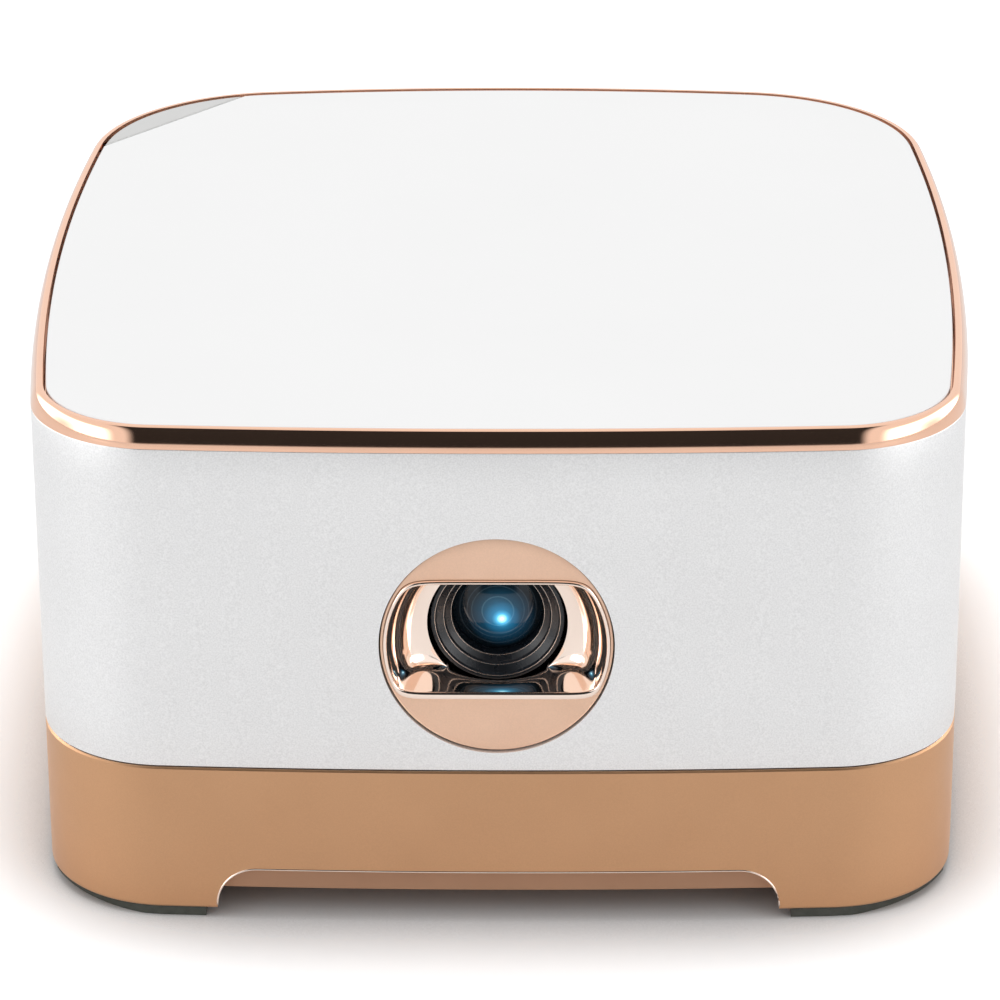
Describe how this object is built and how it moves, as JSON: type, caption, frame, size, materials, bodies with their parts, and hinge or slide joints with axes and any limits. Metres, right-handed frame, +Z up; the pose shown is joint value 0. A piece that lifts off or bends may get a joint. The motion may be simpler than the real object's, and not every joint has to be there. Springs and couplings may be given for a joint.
{
  "type": "home projector",
  "caption": "Squarish desktop home projector with a round lens window, glass top, metal sleeve and a base skirt with a front notch; motor focus, fans and speakers inside.",
  "frame": {"origin": "on the table, under the middle of the plan", "axes": "+Z up, -Y towards the lens window and the screen, +X to the right seen from the front"},
  "size_m": [0.19, 0.206, 0.1045],
  "materials": {
    "white_glass": "gloss",
    "grey_glass": "gloss",
    "rose_gold": "polished",
    "white_metal": "fine bead blast",
    "black_rubber": "matte",
    "champagne_metal": "satin",
    "champagne_paint": "satin",
    "grey_rubber": "matte",
    "champagne_satin": "satin",
    "black_plastic": "matte",
    "dark_acrylic": "gloss",
    "brass": "machined",
    "nickel": "plated",
    "grey_plastic": "matte",
    "circuit_board": "semi-gloss",
    "black_epoxy": "matte",
    "bare_aluminium": "milled",
    "die_cast": "cast",
    "optical_glass": "polished",
    "copper_board": "satin",
    "copper": "satin",
    "steel": "plain",
    "coated_glass": "polished",
    "paper_cone": "matte"
  },
  "bodies": {
    "case": {"top_glass": "white_glass", "trim_ring": "rose_gold", "body_sleeve": "white_metal", "seam_gasket": "black_rubber", "base_skirt": "champagne_metal", "bottom_cover": "champagne_paint", "front_feet": "grey_rubber", "rear_feet": "grey_rubber", "lens_bezel": "champagne_satin", "lens_pocket": "rose_gold", "rear_grille": "black_plastic", "io_plate": "black_plastic", "ir_window": "dark_acrylic", "tripod_insert": "brass", "dc_jack": "black_plastic", "lan_port": "nickel", "hdmi_port": "nickel", "usb_ports": "nickel", "audio_jack": "black_plastic", "mid_frame": "grey_plastic", "top_carrier": "grey_plastic", "touch_board": "circuit_board", "main_board": "circuit_board", "board_parts": "black_epoxy", "soc_heatsink": "bare_aluminium", "power_board": "circuit_board", "engine_housing": "die_cast", "engine_lid": "die_cast", "prism": "optical_glass", "dmd_board": "circuit_board", "dmd_heatsink": "bare_aluminium", "led_red": "copper_board", "led_green": "copper_board", "led_blue": "copper_board", "collimators": "optical_glass", "dichroic_plates": "optical_glass", "fly_eye_lens": "optical_glass", "cold_plate": "copper", "heat_pipes": "copper", "fin_stack": "bare_aluminium", "left_fan_frame": "black_plastic", "right_fan_frame": "black_plastic", "lens_mount": "die_cast", "ring_keeper": "nickel", "focus_motor": "nickel", "left_speaker": "grey_plastic", "right_speaker": "grey_plastic", "case_screws": "steel", "inner_screws": "steel"},
    "power_key": {"power_key": "grey_glass"},
    "left_rotor": {"left_fan_rotor": "grey_plastic"},
    "right_rotor": {"right_fan_rotor": "grey_plastic"},
    "focus_ring": {"focus_ring": "brass"},
    "focus_pinion": {"focus_pinion": "brass"},
    "lens_group": {"lens_barrel": "black_plastic", "guide_pins": "steel", "front_lens": "coated_glass", "rear_lens": "coated_glass"},
    "left_cone": {"left_cone": "paper_cone"},
    "right_cone": {"right_cone": "paper_cone"}
  },
  "joints": [
    {"name": "power_key_press", "type": "slide", "parent": "case", "child": "power_key", "axis": [0, 0, -1], "range_m": [0, 0.0006], "stiffness_N_per_m": 250},
    {"name": "left_fan_spin", "type": "hinge", "parent": "case", "child": "left_rotor", "pos_m": [-0.032, 0.045, 0.0647], "axis": [0, 1, 0], "continuous": true},
    {"name": "right_fan_spin", "type": "hinge", "parent": "case", "child": "right_rotor", "pos_m": [0.032, 0.045, 0.0647], "axis": [0, 1, 0], "continuous": true},
    {"name": "focus_ring_turn", "type": "hinge", "parent": "case", "child": "focus_ring", "pos_m": [0, -0.057, 0.06], "axis": [0, -1, 0], "range_deg": [-88, 88]},
    {"name": "focus_pinion_turn", "type": "hinge", "parent": "case", "child": "focus_pinion", "pos_m": [0.02708, -0.057, 0.05014], "axis": [0, -1, 0], "range_deg": [-270, 270]},
    {"name": "lens_travel", "type": "slide", "parent": "case", "child": "lens_group", "axis": [0, -1, 0], "range_m": [-0.0015, 0.0015]},
    {"name": "left_cone_stroke", "type": "slide", "parent": "case", "child": "left_cone", "axis": [-1, 0, 0], "range_m": [-0.00025, 0.0006], "stiffness_N_per_m": 100},
    {"name": "right_cone_stroke", "type": "slide", "parent": "case", "child": "right_cone", "axis": [1, 0, 0], "range_m": [-0.00025, 0.0006], "stiffness_N_per_m": 100}
  ],
  "couplings": [
    {"joint": "focus_pinion_turn", "follows": "focus_ring_turn", "ratio": -3},
    {"joint": "lens_travel", "follows": "focus_ring_turn", "m_per_rad": 0.00095}
  ]
}
